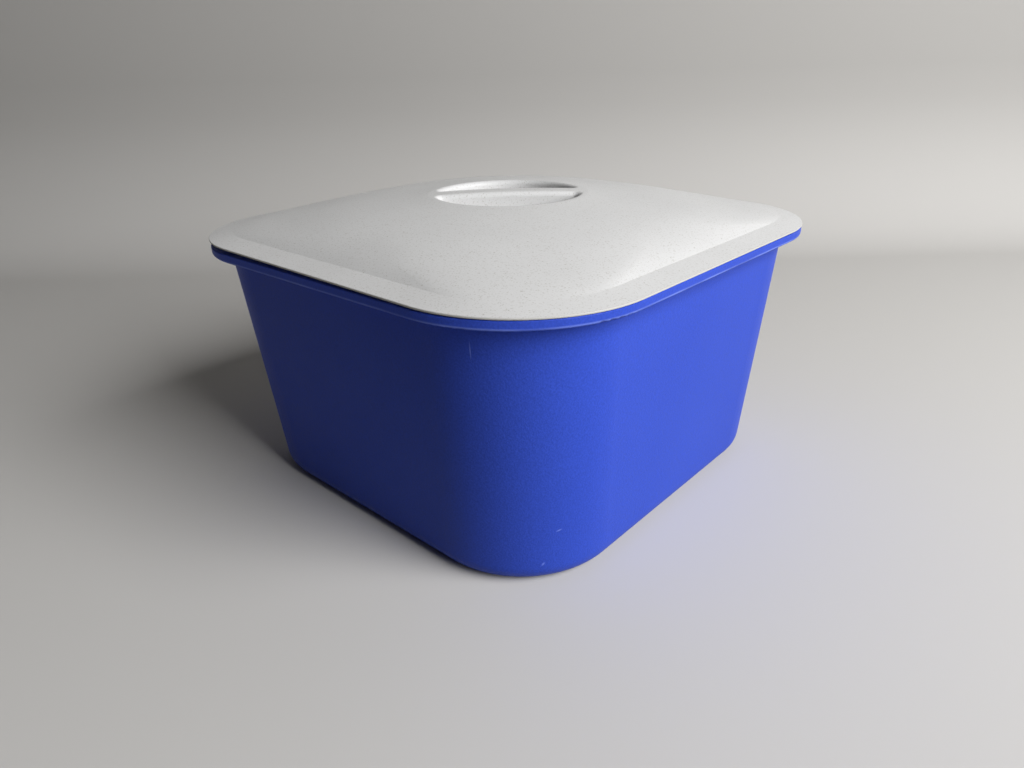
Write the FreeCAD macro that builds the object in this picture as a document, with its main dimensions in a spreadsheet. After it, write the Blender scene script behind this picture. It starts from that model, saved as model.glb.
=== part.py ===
"""Square food storage tub with a loose domed lid.

The tub tapers down from a narrow flange to a flat base with rounded corners. The lid is one
moulding: a flat rim band, a pillow dome and, at its middle, a round finger recess crossed by a
bar. The lid isn't pressed down, so it lies on the flange slightly tipped.

Millimetres. Origin at the middle of the base, +Z up, the sides facing along X and Y.
"""

import FreeCAD, Part
import Sketcher
import math
import os

SIZES = [
    ("tub_height", 142.5, "base to the top of the flange"),
    ("wall_draw", 9.4, "how far each wall draws in from the flange down to the base"),
    ("base_corner", 55.0, "corner radius at the base"),
    ("base_edge_round", 10.5, "rounding between the walls and the base"),
    ("flange_half_side", 139.7, "half side of the flange"),
    ("flange_corner", 66.0, "corner radius of the flange"),
    ("flange_overhang", 10.0, "how far the flange stands out from the walls"),
    ("flange_depth", 4.7, "height of the flange's outer face"),
    ("flange_lower_round", 1.4, "rounding of the flange's lower edge"),
    ("flange_upper_round", 0.6, "rounding of the flange's upper edge"),
    ("flange_root_round", 2.5, "hollow rounding between the walls and the flange"),
    ("lid_margin", 0.3, "how far the lid's edge stands out from the flange's edge"),
    ("rim_thickness", 1.0, "thickness of the lid at its edge"),
    ("rim_round", 0.4, "rounding of the rim's two edges"),
    ("rim_band", 13.0, "width of the rim band outside the dome"),
    ("rim_slope", 2.2, "rise of the rim band from the edge to the dome"),
    ("dome_rise", 14.6, "height of the crown's edge above the rim band"),
    ("crown_margin", 4.8, "width of the crown outside the finger recess"),
    ("crown_rise", 1.3, "height of the crown's middle above its edge"),
    ("recess_radius", 41.2, "radius of the round finger recess"),
    ("recess_floor", 2.8, "thickness of the lid under the finger recess"),
    ("recess_corner", 3.0, "rounding where the bar meets the wall of the recess"),
    ("recess_floor_round", 3.0, "rounding between the walls and the floor of the recess"),
    ("recess_lip_round", 2.6, "rounding of the recess's upper edges, the bar's among them"),
    ("bar_width", 15.0, "width of the bar across the recess"),
    ("bar_heading", 45.0, "direction of the bar from +X, in degrees"),
    ("tip_angle", 0.73, "angle at which the loose lid lies, in degrees"),
    ("tip_heading", 167.0, "direction in which the lid rises, in degrees"),
    ("seat_clearance", 0.05, "gap between the lid and the flange where it rests"),
]

# Sizes that follow from the ones above, as expressions for the sheet's aliases.
LID_HALF_SIDE = "(Sizes.flange_half_side + Sizes.lid_margin)"
LID_CORNER = "(Sizes.flange_corner + Sizes.lid_margin)"
WALL_HALF_SIDE = "(Sizes.flange_half_side - Sizes.flange_overhang)"
WALL_CORNER = "(Sizes.flange_corner - Sizes.flange_overhang)"
BASE_HALF_SIDE = f"({WALL_HALF_SIDE} - Sizes.wall_draw)"
UNDER_FLANGE = "(Sizes.tub_height - Sizes.flange_depth)"
CREASE_HALF_SIDE = f"({LID_HALF_SIDE} - Sizes.rim_band)"
CREASE_CORNER = f"({LID_CORNER} - Sizes.rim_band)"
CREASE_HEIGHT = "(Sizes.rim_thickness + Sizes.rim_slope)"
CROWN_RADIUS = "(Sizes.recess_radius + Sizes.crown_margin)"
CROWN_EDGE = f"({CREASE_HEIGHT} + Sizes.dome_rise)"
CROWN_TOP = f"({CROWN_EDGE} + Sizes.crown_rise)"

# The dome's sections, as shares of the way in from the crease to the crown, of the rise,
# and of the way from the crease's corner radius to a full round.
DOME_SECTIONS = [
    (0.00, 0.00, 0.00),
    (0.07, 0.16, 0.20),
    (0.15, 0.31, 0.45),
    (0.33, 0.56, 0.75),
    (0.58, 0.76, 0.95),
    (0.83, 0.90, 1.00),
    (1.00, 1.00, 1.00),
]
LEAST_STRAIGHT = 0.5  # half of the shortest straight side left in a nearly round section
BAND_INSET = 1.25  # where the sloping band starts, in roundings of the rim
CUT_START = 5.0  # how far above the dome the recess's cut starts
NEAR = 1e-3

doc = FreeCAD.newDocument("FoodStorageTub")


def make_sheet():
    """The driving sizes, one row each, with an alias for every value."""
    sheet = doc.addObject("Spreadsheet::Sheet", "Sizes")
    for row, (alias, value, note) in enumerate(SIZES, start=1):
        sheet.set(f"A{row}", note)
        sheet.set(f"B{row}", str(value))
        sheet.setAlias(f"B{row}", alias)
    doc.recompute()
    return sheet


def bind(item, **expressions):
    """Binds properties of an object to expressions over the sheet's aliases."""
    for name, expression in expressions.items():
        item.setExpression(name.replace("__", "."), expression)


def new_body(label):
    """An empty body whose label names its file."""
    body = doc.addObject("PartDesign::Body", label.capitalize())
    body.Label = label
    return body


def flat_sketch(body, name, height):
    """An empty sketch parallel to the body's XY plane, at the height of an expression."""
    planes = [item for item in body.Origin.OriginFeatures if item.Role == "XY_Plane"]
    sketch = body.newObject("Sketcher::SketchObject", name)
    sketch.AttachmentSupport = [(planes[0], "")]
    sketch.MapMode = "FlatFace"
    bind(sketch, AttachmentOffset__Base__z=height)
    return sketch


def rounded_square(body, name, height, half_side, corner):
    """A square with round corners; its arcs are even items and its sides odd ones."""
    sketch = flat_sketch(body, name, height)
    half, radius = 100.0, 40.0  # starting figures, replaced through the constraints
    straight = half - radius
    normal = FreeCAD.Vector(0, 0, 1)
    for turn in range(4):
        angle = math.pi / 2 * turn
        out = FreeCAD.Vector(math.cos(angle), math.sin(angle), 0)
        onward = FreeCAD.Vector(-math.sin(angle), math.cos(angle), 0)
        centre = (out + onward) * straight
        circle = Part.Circle(centre, normal, radius)
        sketch.addGeometry(Part.ArcOfCircle(circle, angle, angle + math.pi / 2), False)
        start = centre + onward * radius
        sketch.addGeometry(Part.LineSegment(start, start - out * 2 * straight), False)
    for item in range(8):
        following = (item + 1) % 8
        sketch.addConstraint(Sketcher.Constraint("Tangent", item, 2, following, 1))
    for side, direction in zip((1, 3, 5, 7), ("Horizontal", "Vertical") * 2):
        sketch.addConstraint(Sketcher.Constraint(direction, side))
    for arc in (2, 4, 6):
        sketch.addConstraint(Sketcher.Constraint("Equal", 0, arc))
    reaches = (
        Sketcher.Constraint("DistanceY", -1, 1, 1, 1, half),
        Sketcher.Constraint("DistanceX", 3, 1, -1, 1, half),
        Sketcher.Constraint("DistanceY", 5, 1, -1, 1, half),
        Sketcher.Constraint("DistanceX", -1, 1, 7, 1, half),
    )
    for reach in reaches:
        index = sketch.addConstraint(reach)
        sketch.setExpression(f"Constraints[{index}]", half_side)
    index = sketch.addConstraint(Sketcher.Constraint("Radius", 0, radius))
    sketch.setExpression(f"Constraints[{index}]", corner)
    return sketch


def crown_profile(body, name):
    """Half of the crown's low arc, standing in the body's XZ plane on the crown's edge."""
    planes = [item for item in body.Origin.OriginFeatures if item.Role == "XZ_Plane"]
    sketch = body.newObject("Sketcher::SketchObject", name)
    sketch.AttachmentSupport = [(planes[0], "")]
    sketch.MapMode = "FlatFace"
    edge, rise, level_of_edge = 47.0, 1.3, 17.5  # starting figures, as in the other sketches
    foot = FreeCAD.Vector(0, level_of_edge, 0)
    rim = FreeCAD.Vector(edge, level_of_edge, 0)
    peak = FreeCAD.Vector(0, level_of_edge + rise, 0)
    radius = (edge**2 + rise**2) / (2 * rise)
    centre = peak - FreeCAD.Vector(0, radius, 0)
    start = math.atan2(rim.y - centre.y, rim.x)
    circle = Part.Circle(centre, FreeCAD.Vector(0, 0, 1), radius)
    sketch.addGeometry(Part.LineSegment(foot, rim), False)
    sketch.addGeometry(Part.ArcOfCircle(circle, start, math.pi / 2), False)
    sketch.addGeometry(Part.LineSegment(peak, foot), False)
    sketch.addConstraint(Sketcher.Constraint("Coincident", 0, 2, 1, 1))
    sketch.addConstraint(Sketcher.Constraint("Coincident", 1, 2, 2, 1))
    sketch.addConstraint(Sketcher.Constraint("Coincident", 2, 2, 0, 1))
    sketch.addConstraint(Sketcher.Constraint("Horizontal", 0))
    sketch.addConstraint(Sketcher.Constraint("PointOnObject", 0, 1, -2))
    sketch.addConstraint(Sketcher.Constraint("PointOnObject", 2, 1, -2))
    sketch.addConstraint(Sketcher.Constraint("PointOnObject", 1, 3, -2))
    bound = (
        (("DistanceY", -1, 1, 0, 1, level_of_edge), CROWN_EDGE),
        (("DistanceX", 0, 1, 0, 2, edge), CROWN_RADIUS),
        (("DistanceY", 2, 2, 2, 1, rise), "Sizes.crown_rise"),
    )
    for parts, expression in bound:
        index = sketch.addConstraint(Sketcher.Constraint(*parts))
        sketch.setExpression(f"Constraints[{index}]", expression)
    return sketch


def half_moons(body, name, height):
    """The two halves of the finger recess, left and right of the bar along the sketch's X."""
    sketch = flat_sketch(body, name, height)
    sketch.AttachmentOffset = FreeCAD.Placement(
        FreeCAD.Vector(), FreeCAD.Rotation(FreeCAD.Vector(0, 0, 1), 45)
    )
    bind(sketch, AttachmentOffset__Rotation__Angle="Sizes.bar_heading")
    radius, half = 42.0, 6.0  # starting figures, replaced through the constraints
    normal = FreeCAD.Vector(0, 0, 1)
    dip = math.asin(half / radius)
    for moon, turn in enumerate((0, math.pi)):
        start, end = turn + dip, turn + math.pi - dip
        arc, chord = 2 * moon, 2 * moon + 1
        circle = Part.Circle(FreeCAD.Vector(), normal, radius)
        sketch.addGeometry(Part.ArcOfCircle(circle, start, end), False)
        corners = [
            FreeCAD.Vector(radius * math.cos(angle), radius * math.sin(angle), 0)
            for angle in (end, start)
        ]
        sketch.addGeometry(Part.LineSegment(*corners), False)
        sketch.addConstraint(Sketcher.Constraint("Coincident", arc, 3, -1, 1))
        sketch.addConstraint(Sketcher.Constraint("Coincident", arc, 2, chord, 1))
        sketch.addConstraint(Sketcher.Constraint("Coincident", chord, 2, arc, 1))
        sketch.addConstraint(Sketcher.Constraint("Horizontal", chord))
        index = sketch.addConstraint(Sketcher.Constraint("Radius", arc, radius))
        sketch.setExpression(f"Constraints[{index}]", "Sizes.recess_radius")
        ends = ((-1, 1), (chord, 1)) if moon == 0 else ((chord, 1), (-1, 1))
        index = sketch.addConstraint(
            Sketcher.Constraint("DistanceY", *ends[0], *ends[1], half)
        )
        sketch.setExpression(f"Constraints[{index}]", "Sizes.bar_width / 2")
    return sketch


def loft(body, name, sections, ruled):
    """A loft through sketches, added to the body."""
    feature = body.newObject("PartDesign::AdditiveLoft", name)
    feature.Profile = sections[0]
    feature.Sections = sections[1:]
    feature.Ruled = ruled
    for sketch in sections:
        sketch.Visibility = False
    return feature


def pad(body, name, sketch, length):
    """A sketch raised along +Z by an expression."""
    feature = body.newObject("PartDesign::Pad", name)
    feature.Profile = sketch
    bind(feature, Length=length)
    return feature


def revolve(body, name, sketch):
    """A sketch turned right round its own vertical axis."""
    feature = body.newObject("PartDesign::Revolution", name)
    feature.Profile = sketch
    feature.ReferenceAxis = (sketch, ["V_Axis"])
    feature.Angle = 360
    return feature


def pocket(body, name, sketch, length):
    """A sketch cut along -Z by an expression; the body must lose material."""
    doc.recompute()
    before = body.Shape.Volume
    feature = body.newObject("PartDesign::Pocket", name)
    feature.Profile = sketch
    bind(feature, Length=length)
    doc.recompute()
    if body.Shape.Volume > before - 1.0:
        raise RuntimeError(f"{name} cut nothing")
    return feature


def round_edges(body, name, radius, wanted):
    """A fillet over the tip's edges for which the test holds."""
    doc.recompute()
    tip = body.Tip
    names = [
        f"Edge{number}"
        for number, edge in enumerate(tip.Shape.Edges, start=1)
        if wanted(edge)
    ]
    if not names:
        raise RuntimeError(f"{name} found no edges")
    feature = body.newObject("PartDesign::Fillet", name)
    feature.Base = (tip, names)
    bind(feature, Radius=radius)
    doc.recompute()
    return feature


def level(edge, height):
    """True for an edge that lies flat at a height."""
    box = edge.BoundBox
    return abs(box.ZMin - height) < NEAR and abs(box.ZMax - height) < NEAR


def reach(edge):
    """The greatest distance of the edge from the middle along X or Y."""
    box = edge.BoundBox
    return max(abs(box.XMin), abs(box.XMax), abs(box.YMin), abs(box.YMax))


def far(edge):
    """The distance of the edge's middle point from the Z axis."""
    middle = edge.valueAt((edge.FirstParameter + edge.LastParameter) / 2)
    return math.hypot(middle.x, middle.y)


def from_bar(edge):
    """The distance of the edge's middle point from the bar's centre plane."""
    middle = edge.valueAt((edge.FirstParameter + edge.LastParameter) / 2)
    heading = math.radians(sizes.bar_heading)
    return abs(middle.y * math.cos(heading) - middle.x * math.sin(heading))


def make_tub():
    """The tub: tapering walls, a flange round the top and a rounded base."""
    body = new_body("tub")
    base = rounded_square(body, "BaseOutline", "0", BASE_HALF_SIDE, "Sizes.base_corner")
    top = rounded_square(body, "WallTop", UNDER_FLANGE, WALL_HALF_SIDE, WALL_CORNER)
    loft(body, "Walls", [base, top], True)
    outline = rounded_square(
        body, "FlangeOutline", UNDER_FLANGE, "Sizes.flange_half_side", "Sizes.flange_corner"
    )
    pad(body, "Flange", outline, "Sizes.flange_depth")
    under = sizes.tub_height - sizes.flange_depth
    wall_top = sizes.flange_half_side - sizes.flange_overhang

    def at_wall(edge):
        return abs(reach(edge) - wall_top) < NEAR

    round_edges(body, "BaseRound", "Sizes.base_edge_round", lambda edge: level(edge, 0.0))
    round_edges(
        body,
        "FlangeRoot",
        "Sizes.flange_root_round",
        lambda edge: level(edge, under) and at_wall(edge),
    )
    round_edges(
        body,
        "FlangeLowerRound",
        "Sizes.flange_lower_round",
        lambda edge: level(edge, under) and abs(reach(edge) - sizes.flange_half_side) < NEAR,
    )
    round_edges(
        body,
        "FlangeUpperRound",
        "Sizes.flange_upper_round",
        lambda edge: level(edge, sizes.tub_height),
    )
    return body


def make_lid():
    """The lid: rim, dome, finger recess and bar, standing on its own flat underside."""
    body = new_body("lid")
    outline = rounded_square(body, "LidOutline", "0", LID_HALF_SIDE, LID_CORNER)
    pad(body, "Rim", outline, "Sizes.rim_thickness")
    round_edges(
        body,
        "RimRound",
        "Sizes.rim_round",
        lambda edge: level(edge, 0.0) or level(edge, sizes.rim_thickness),
    )
    inset = f"{BAND_INSET} * Sizes.rim_round"
    foot = rounded_square(
        body,
        "BandFoot",
        "Sizes.rim_thickness",
        f"{LID_HALF_SIDE} - {inset}",
        f"{LID_CORNER} - {inset}",
    )
    head = rounded_square(body, "BandHead", CREASE_HEIGHT, CREASE_HALF_SIDE, CREASE_CORNER)
    loft(body, "RimBand", [foot, head], True)
    sections = []
    for number, (inward, upward, roundness) in enumerate(DOME_SECTIONS):
        half = f"({CREASE_HALF_SIDE} + {inward} * ({CROWN_RADIUS} - {CREASE_HALF_SIDE}))"
        height = f"{CREASE_HEIGHT} + {upward} * Sizes.dome_rise"
        whole = f"({half} - {LEAST_STRAIGHT} - {CREASE_CORNER})"
        corner = f"{CREASE_CORNER} + {roundness} * {whole}"
        sections.append(rounded_square(body, f"DomeSection{number}", height, half, corner))
    loft(body, "Dome", sections, False)
    revolve(body, "Crown", crown_profile(body, "CrownProfile"))
    moons = half_moons(body, "RecessOutline", f"{CROWN_TOP} + {CUT_START}")
    pocket(body, "FingerRecess", moons, f"{CROWN_TOP} + {CUT_START} - Sizes.recess_floor")

    edge_height = sizes.rim_thickness + sizes.rim_slope + sizes.dome_rise
    depth = edge_height - sizes.recess_floor
    inside = sizes.recess_radius + sizes.crown_margin / 2

    def upright(edge):
        return edge.BoundBox.ZMax - edge.BoundBox.ZMin > depth / 2

    def on_lip(edge):
        over_bar = from_bar(edge) < sizes.bar_width / 2 - NEAR
        return edge.BoundBox.ZMin > edge_height and far(edge) < inside and not over_bar

    round_edges(
        body,
        "RecessCorners",
        "Sizes.recess_corner",
        lambda edge: upright(edge) and far(edge) < inside,
    )
    round_edges(body, "RecessLip", "Sizes.recess_lip_round", on_lip)
    round_edges(
        body,
        "RecessFloorRound",
        "Sizes.recess_floor_round",
        lambda edge: level(edge, sizes.recess_floor) and reach(edge) < inside,
    )
    return body


def lay_on(lid):
    """Lays the lid on the flange: it touches at one corner and rises away from there."""
    heading, angle = "Sizes.tip_heading", "Sizes.tip_angle"
    straight = "(Sizes.flange_half_side - Sizes.flange_corner)"
    arm = f"({straight} * (abs(cos({heading})) + abs(sin({heading}))) + Sizes.flange_corner)"
    height = f"Sizes.tub_height + Sizes.seat_clearance + {arm} * tan({angle})"
    axis = f"create(<<vector>>; sin({heading}); -cos({heading}); 0)"
    turn = f"create(<<rotation>>; {axis}; {angle})"
    place = f"create(<<vector>>; 0; 0; {height})"
    bind(lid, Placement=f"create(<<placement>>; {place}; {turn})")


def check(bodies):
    """Stops on a feature that failed or a body that isn't one sound solid."""
    for item in doc.Objects:
        if "Invalid" in item.State or "Error" in item.State:
            raise RuntimeError(f"{item.Label} didn't recompute: {item.State}")
    for body in bodies:
        shape = body.Shape
        if shape.isNull() or not shape.isValid() or len(shape.Solids) != 1:
            raise RuntimeError(f"{body.Label} isn't one valid solid")


sizes = make_sheet()
tub = make_tub()
lid = make_lid()
lay_on(lid)
doc.recompute()
check((tub, lid))
os.makedirs("parts", exist_ok=True)
for body in (tub, lid):
    body.Shape.exportStep(f"parts/{body.Label}.step")
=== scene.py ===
"""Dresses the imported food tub: textured blue plastic, speckled lid, pale floor, light and camera."""

import math

import bmesh
import bpy
from mathutils import Matrix, Vector

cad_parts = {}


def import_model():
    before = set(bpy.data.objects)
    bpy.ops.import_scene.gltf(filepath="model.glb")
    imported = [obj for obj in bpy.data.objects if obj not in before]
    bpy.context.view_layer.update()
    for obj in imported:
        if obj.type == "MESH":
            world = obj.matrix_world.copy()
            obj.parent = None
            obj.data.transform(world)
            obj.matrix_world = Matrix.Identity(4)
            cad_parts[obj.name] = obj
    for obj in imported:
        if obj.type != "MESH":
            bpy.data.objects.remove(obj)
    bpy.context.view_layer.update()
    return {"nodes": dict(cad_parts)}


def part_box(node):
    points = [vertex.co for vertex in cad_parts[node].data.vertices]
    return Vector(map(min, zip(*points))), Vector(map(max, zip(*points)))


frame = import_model()
TUB = frame["nodes"]["tub"]
LID = frame["nodes"]["lid"]

MM = 0.001

# Lengths are in metres where nothing else is said, and a noise's scale is per metre. Colours are
# sRGB, 0 to 255. A span is the stretch of an input over which an output changes.
UNIT_SPAN = (0.0, 1.0)
BLACK = (0.0, 0.0, 0.0, 1.0)
WHITE = (1.0, 1.0, 1.0, 1.0)

# The flange, as in the CAD: its corners, and the middle and half width of its lower edge, along which
# a highlight is painted.
FLANGE_CORNER = 0.066
CORNER_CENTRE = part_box("tub")[1][0] - FLANGE_CORNER
FLANGE_EDGE_HEIGHT = 0.1388
FLANGE_EDGE_HALF = 0.0007

# Where the flange's side begins, outwards from the corners' centres, and where the lid's does, which
# stands out further. The first bounds the painted highlight on the flange, the second the painted
# shade on the lid's side.
FLANGE_SIDE_SPAN = (FLANGE_CORNER - 0.003, FLANGE_CORNER - 0.0015)
LID_SIDE_SPAN = (FLANGE_CORNER - 0.0001, FLANGE_CORNER + 0.0001)

# The stretch of the grain's values that its shades and roughness are spread over, on both plastics.
GRAIN_SPAN = (0.3, 0.7)

# The tub's plastic, with a painted highlight along the flange's lower edge, in the same colour as its
# scuffs.
BLUE_TINTS = ((47, 73, 182), (53, 80, 192))
BLUE_SHADES = (0.88, 1.10)
# The painted highlight's colour, also used for the scuffs.
BLUE_HIGHLIGHT_AND_SCUFFS = (122, 144, 234)
BLUE_ROUGHNESS = (0.40, 0.50)
BLUE_SPECULAR = 0.12
BLUE_CLOUD_SCALE = 14.0
BLUE_GRAIN_SCALE = 1100.0
BLUE_RIPPLE_SCALE = 420.0
# The noise that breaks up the painted highlight: its scale, the span of its values, and the strengths
# that it gives.
HIGHLIGHT_BREAK_SCALE = 35.0
HIGHLIGHT_BREAK_SPAN = (0.35, 0.65)
HIGHLIGHT_BREAK_STRENGTHS = (0.35, 1.0)

# Small scuffs on the walls: place, turn (radians), half length, half width, strength.
SCUFFS = [
    ((0.0926, -0.1253, 0.1253), (0.0, 0.03, 0.0), 0.0050, 0.00040, 0.65),
    ((0.1146, -0.0955, 0.0318), (0.0, 0.9, 0.0), 0.0012, 0.0005, 0.8),
    ((0.1090, -0.1005, 0.0125), (0.0, 0.4, 0.0), 0.0014, 0.0005, 0.8),
]
# How many times as deep as it is wide a scuff is, so that it goes through the sloping wall's face.
SCUFF_DEPTH = 40

# The lid's plastic, with painted shade that makes its outer side a little darker than the rest.
GREY_TINTS = ((209, 209, 209), (217, 217, 217))
GREY_FLECK = (178, 175, 170)
GREY_SIDE_PAINTED_SHADE = (190, 189, 186)
GREY_ROUGHNESS = (0.45, 0.58)
GREY_SPECULAR = 0.4
GREY_CLOUD_SCALE = 30.0
GREY_FLECK_SCALE = 1100.0
GREY_FLECK_SPAN = (0.26, 0.44)
GREY_GRAIN_SCALE = 1600.0

# The floor and the wall that it bends up into. The floor's start and the wall's place are distances
# from the origin, away from the camera.
FLOOR_START = -4.5
WALL_PLACE = 0.62
WALL_BEND = 0.18
WALL_HEIGHT = 3.0
BACKDROP_HALF_WIDTH = 4.5
BEND_STEPS = 16

# Their colours: as they are seen, which change with height, and as they scatter light.
FLOOR_SEEN = (205, 203, 200)
WALL_SEEN = (180, 178, 175)
WALL_HEIGHT_SPAN = (0.02, 0.22)
BACKDROP_SCATTERED = (158, 156, 152)
BACKDROP_ROUGHNESS = 0.9
BACKDROP_SPECULAR = 0.1

# The haze that they fade into: its colour, the distances over which it grows, and its most.
HAZE = (255, 254, 252)
HAZE_DISTANCE_SPAN = (1.2, 3.2)
HAZE_STRENGTH = 0.45

# The window lamp, and the world's strength as a light and as it is seen.
WINDOW_PLACE = Vector((1.5, 0.15, 1.0))
WINDOW_TARGET = Vector((0.0, 0.0, 0.08))
WINDOW_SIZE = 1.2
WINDOW_WATTS = 47.5
WORLD_FILL = 0.015
WORLD_SEEN = 0.55

# The camera's place (millimetres) and directions, its focal length in image widths, its sensor
# (millimetres) and the nearest and furthest that it sees.
CAMERA_PLACE = Vector((282.11, -306.00, 228.31))
CAMERA_FORWARD = Vector((-0.61863, 0.66891, -0.41214))
CAMERA_UP = Vector((-0.25889, 0.32173, 0.91075))
FOCAL_IN_WIDTHS = 700.89 / 1024
SENSOR_WIDTH = 36.0
CAMERA_CLIP = (0.01, 50.0)


def linear(colour):
    """An sRGB colour of 0 to 255 as the linear RGBA that sockets take."""
    def one(value):
        value /= 255
        return value / 12.92 if value <= 0.04045 else ((value + 0.055) / 1.055) ** 2.4
    red, green, blue = colour
    return (one(red), one(green), one(blue), 1.0)


class Nodes:
    """Adds nodes to a tree. A value is a constant or a socket, and each sum returns a socket."""

    # Where a Mix node keeps the sockets that it uses for colours.
    MIX_FACTOR, MIX_FIRST, MIX_SECOND = 0, 6, 7

    def __init__(self, tree):
        self.tree = tree

    def feed(self, socket, value):
        """Links a socket to another one, or sets it to a constant."""
        if isinstance(value, bpy.types.NodeSocket):
            self.tree.links.new(value, socket)
        else:
            socket.default_value = value

    def add(self, kind, inputs, **settings):
        """One node; an input that is None keeps its default."""
        node = self.tree.nodes.new(kind)
        for name, value in settings.items():
            setattr(node, name, value)
        for key, value in inputs.items():
            if value is not None:
                self.feed(node.inputs[key], value)
        return node

    def calculate(self, kind, first, second=None):
        node = self.add("ShaderNodeMath", {0: first, 1: second}, operation=kind)
        return node.outputs["Value"]

    def vector(self, kind, first, second=None):
        node = self.add("ShaderNodeVectorMath", {0: first, 1: second}, operation=kind)
        return node.outputs["Value" if kind == "LENGTH" else "Vector"]

    def rescale(self, value, span, results):
        """Takes a span of values to the two results, and holds the nearer one outside it."""
        node = self.add("ShaderNodeMapRange", {
            "Value": value,
            "From Min": span[0],
            "From Max": span[1],
            "To Min": results[0],
            "To Max": results[1],
        })
        return node.outputs["Result"]

    def mix(self, factor, first, second, blend="MIX"):
        """Mixes two colours."""
        inputs = {self.MIX_FACTOR: factor, self.MIX_FIRST: first, self.MIX_SECOND: second}
        node = self.add("ShaderNodeMix", inputs, data_type="RGBA", blend_type=blend)
        return node.outputs["Result"]

    def seen(self):
        """1 for what the camera sees, directly, reflected or through something clear, or else 0."""
        rays = self.add("ShaderNodeLightPath", {}).outputs
        total = rays["Is Camera Ray"]
        for kind in ("Is Glossy Ray", "Is Transmission Ray"):
            total = self.calculate("MAXIMUM", total, rays[kind])
        return total


class Material(Nodes):
    """A new material's nodes, with its shader and the object's own coordinates."""

    def __init__(self, name):
        self.material = bpy.data.materials.new(name)
        self.material.use_nodes = True
        super().__init__(self.material.node_tree)
        self.tree.nodes.clear()
        self.shader = self.add("ShaderNodeBsdfPrincipled", {})
        self.add("ShaderNodeOutputMaterial", {"Surface": self.shader.outputs["BSDF"]})
        self.place = self.add("ShaderNodeTexCoord", {}).outputs["Object"]

    def shade(self, looks):
        """Feeds the shader's inputs by name, and returns the finished material."""
        for name, value in looks.items():
            self.feed(self.shader.inputs[name], value)
        return self.material

    def noise(self, scale, detail, roughness=0.5):
        node = self.add("ShaderNodeTexNoise", {
            "Vector": self.place,
            "Scale": scale,
            "Detail": detail,
            "Roughness": roughness,
        })
        return node.outputs["Fac"]

    def low_values(self, value, span):
        """1 for values below a span, falling to 0 above it."""
        node = self.add("ShaderNodeValToRGB", {"Fac": value})
        for element, place, colour in zip(node.color_ramp.elements, span, (WHITE, BLACK)):
            element.position, element.color = place, colour
        return node.outputs["Color"]

    def bump(self, height, strength, distance, normal=None):
        node = self.add("ShaderNodeBump", {
            "Height": height,
            "Strength": strength,
            "Distance": distance,
            "Normal": normal,
        })
        return node.outputs["Normal"]

    def height(self):
        return self.add("ShaderNodeSeparateXYZ", {"Vector": self.place}).outputs["Z"]

    def near(self, value, middle, half):
        """1 at a value of middle, falling to 0 at half more or less than that."""
        off = self.calculate("ABSOLUTE", self.calculate("SUBTRACT", value, middle))
        return self.rescale(off, (0.0, half), (1.0, 0.0))

    def outward(self, centre):
        """How far out, seen from above, a point is from a square with corners at centre."""
        # Higher than any point, so that height doesn't count.
        above_all = 1.0
        size = self.vector("ABSOLUTE", self.place)
        beyond = self.vector("SUBTRACT", size, (centre, centre, above_all))
        return self.vector("LENGTH", self.vector("MAXIMUM", beyond, (0.0, 0.0, 0.0)))

    def scuff(self, place, turn, half_length, half_width, strength):
        """A short straight scuff: its strength along its middle, 0 off it."""
        mapping = self.add("ShaderNodeMapping", {
            "Vector": self.place,
            "Location": place,
            "Rotation": turn,
            "Scale": (half_width, half_width * SCUFF_DEPTH, half_length),
        }, vector_type="TEXTURE")
        far = self.vector("LENGTH", mapping.outputs["Vector"])
        return self.rescale(far, UNIT_SPAN, (strength, 0.0))


def blue_plastic():
    """Matte, spark-eroded royal-blue plastic with scuffs, and a painted highlight along the flange's
    lower edge.
    """
    kit = Material("blue_plastic")
    tint = kit.mix(kit.noise(BLUE_CLOUD_SCALE, detail=3.0), *map(linear, BLUE_TINTS))
    grain = kit.noise(BLUE_GRAIN_SCALE, detail=2.0, roughness=0.6)
    colour = kit.mix(1.0, tint, kit.rescale(grain, GRAIN_SPAN, BLUE_SHADES), "MULTIPLY")

    # Painted highlight: a lighter line along the flange's lower outer edge, broken up by noise. The
    # scuffs are added to it in the same colour.
    edge = kit.near(kit.height(), FLANGE_EDGE_HEIGHT, FLANGE_EDGE_HALF)
    side = kit.rescale(kit.outward(CORNER_CENTRE), FLANGE_SIDE_SPAN, UNIT_SPAN)
    highlight_line = kit.calculate("MULTIPLY", edge, side)
    breaks = kit.rescale(kit.noise(HIGHLIGHT_BREAK_SCALE, detail=2.0), HIGHLIGHT_BREAK_SPAN, HIGHLIGHT_BREAK_STRENGTHS)
    highlight_and_scuffs = kit.calculate("MULTIPLY", highlight_line, breaks)
    for scuff in SCUFFS:
        highlight_and_scuffs = kit.calculate("MAXIMUM", highlight_and_scuffs, kit.scuff(*scuff))

    fine = kit.bump(grain, strength=0.35, distance=0.0003)
    ripple = kit.noise(BLUE_RIPPLE_SCALE, detail=1.0)
    return kit.shade({
        "Base Color": kit.mix(highlight_and_scuffs, colour, linear(BLUE_HIGHLIGHT_AND_SCUFFS)),
        "Roughness": kit.rescale(grain, GRAIN_SPAN, BLUE_ROUGHNESS),
        "Normal": kit.bump(ripple, strength=0.12, distance=0.0003, normal=fine),
        "Specular IOR Level": BLUE_SPECULAR,
    })


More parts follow.
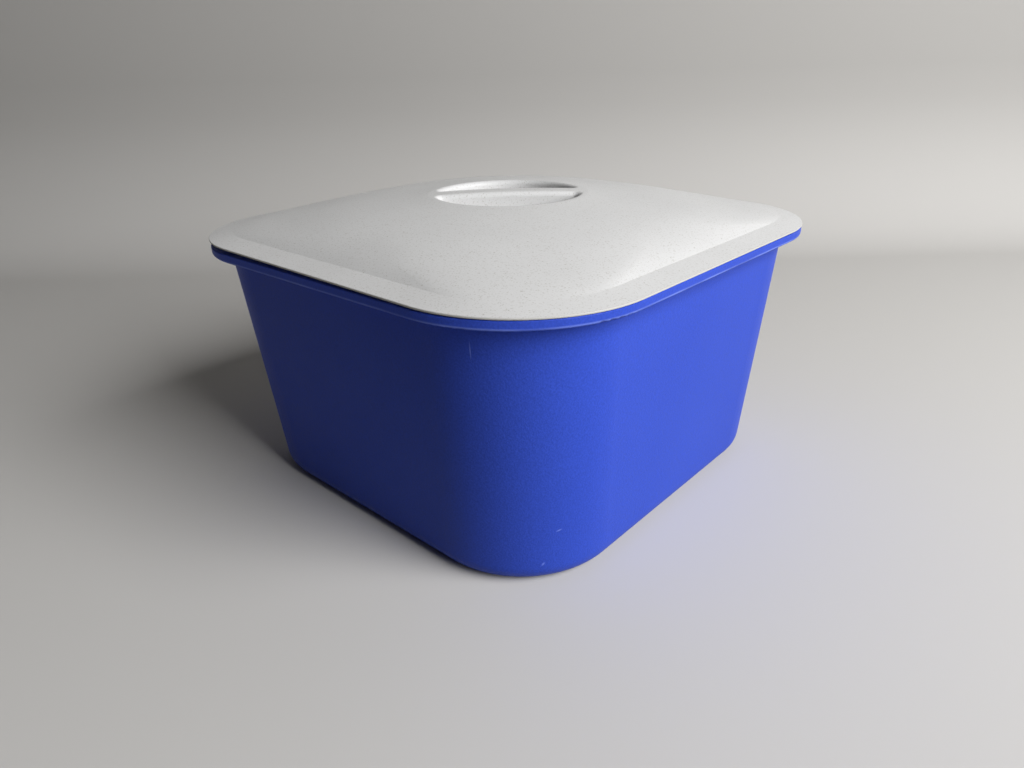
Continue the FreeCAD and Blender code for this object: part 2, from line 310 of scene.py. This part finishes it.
def speckled_plastic():
    """Warm light-grey plastic with a fine darker fleck, and painted shade on the lid's outer side."""
    kit = Material("speckled_plastic")
    base = kit.mix(kit.noise(GREY_CLOUD_SCALE, detail=3.0), *map(linear, GREY_TINTS))
    flecks = kit.noise(GREY_FLECK_SCALE, detail=2.0, roughness=0.7)
    dots = kit.low_values(flecks, GREY_FLECK_SPAN)
    dotted = kit.mix(dots, base, linear(GREY_FLECK))
    # Painted shade: the lid's outer side is darkened.
    side = kit.rescale(kit.outward(CORNER_CENTRE), LID_SIDE_SPAN, UNIT_SPAN)
    grain = kit.noise(GREY_GRAIN_SCALE, detail=2.0, roughness=0.6)
    return kit.shade({
        "Base Color": kit.mix(side, dotted, linear(GREY_SIDE_PAINTED_SHADE)),
        "Roughness": kit.rescale(grain, GRAIN_SPAN, GREY_ROUGHNESS),
        "Normal": kit.bump(grain, strength=0.2, distance=0.0002),
        "Specular IOR Level": GREY_SPECULAR,
    })


def backdrop_material():
    """Paler where it is seen than as it scatters light, and lost in haze far away."""
    kit = Material("backdrop")
    seen = kit.seen()
    wall = kit.rescale(kit.height(), WALL_HEIGHT_SPAN, UNIT_SPAN)
    shown = kit.mix(wall, linear(FLOOR_SEEN), linear(WALL_SEEN))
    distance = kit.vector("LENGTH", kit.place)
    haze = kit.rescale(distance, HAZE_DISTANCE_SPAN, (0.0, HAZE_STRENGTH))
    return kit.shade({
        "Base Color": kit.mix(seen, linear(BACKDROP_SCATTERED), shown),
        "Emission Color": linear(HAZE),
        "Emission Strength": kit.calculate("MULTIPLY", haze, seen),
        "Roughness": BACKDROP_ROUGHNESS,
        "Specular IOR Level": BACKDROP_SPECULAR,
    })


def backdrop():
    """A pale floor that runs up into a wall behind the tub."""
    forward = Vector((CAMERA_FORWARD.x, CAMERA_FORWARD.y, 0)).normalized()
    side = Vector((forward.y, -forward.x, 0)) * BACKDROP_HALF_WIDTH
    profile = [(FLOOR_START, 0.0), (WALL_PLACE - WALL_BEND, 0.0)]
    for step in range(1, BEND_STEPS + 1):
        angle = math.pi / 2 * step / BEND_STEPS
        profile.append((WALL_PLACE - WALL_BEND + WALL_BEND * math.sin(angle),
                        WALL_BEND - WALL_BEND * math.cos(angle)))
    profile.append((WALL_PLACE, WALL_HEIGHT))

    net = bmesh.new()
    rows = []
    for along, up in profile:
        middle = forward * along + Vector((0, 0, up))
        rows.append((net.verts.new(middle - side), net.verts.new(middle + side)))
    for (left, right), (next_left, next_right) in zip(rows, rows[1:]):
        net.faces.new((left, right, next_right, next_left)).smooth = True
    mesh = bpy.data.meshes.new("backdrop")
    net.to_mesh(mesh)
    net.free()
    mesh.materials.append(backdrop_material())
    sheet = bpy.data.objects.new("backdrop", mesh)
    bpy.context.scene.collection.objects.link(sheet)


def dress(node, material):
    """Gives a CAD node its better material, keeping its mesh and place."""
    for slot in node.material_slots:
        slot.material = material


def window():
    """One soft square lamp on the right."""
    data = bpy.data.lights.new("window", "AREA")
    data.shape = "SQUARE"
    data.size = WINDOW_SIZE
    data.energy = WINDOW_WATTS
    lamp = bpy.data.objects.new("window", data)
    lamp.location = WINDOW_PLACE
    lamp.rotation_mode = "QUATERNION"
    lamp.rotation_quaternion = (WINDOW_TARGET - WINDOW_PLACE).to_track_quat("-Z", "Y")
    bpy.context.scene.collection.objects.link(lamp)


def world():
    """Dim fill light from all round, with a pale world where the camera or a reflection sees it."""
    studio = bpy.data.worlds.new("studio")
    studio.use_nodes = True
    kit = Nodes(studio.node_tree)
    background = kit.tree.nodes["Background"]
    kit.feed(background.inputs["Color"], WHITE)
    strength = kit.rescale(kit.seen(), UNIT_SPAN, (WORLD_FILL, WORLD_SEEN))
    kit.feed(background.inputs["Strength"], strength)
    bpy.context.scene.world = studio


def camera():
    forward = CAMERA_FORWARD.normalized()
    right = forward.cross(CAMERA_UP).normalized()
    up = right.cross(forward)
    turn = Matrix((right, up, -forward)).transposed()
    data = bpy.data.cameras.new("camera")
    data.sensor_width = SENSOR_WIDTH
    data.lens = FOCAL_IN_WIDTHS * SENSOR_WIDTH
    data.clip_start, data.clip_end = CAMERA_CLIP
    stand = bpy.data.objects.new("camera", data)
    stand.matrix_world = Matrix.Translation(CAMERA_PLACE * MM) @ turn.to_4x4()
    bpy.context.scene.collection.objects.link(stand)
    bpy.context.scene.camera = stand


dress(TUB, blue_plastic())
dress(LID, speckled_plastic())
backdrop()
window()
world()
camera()
bpy.context.scene.view_settings.view_transform = "Standard"
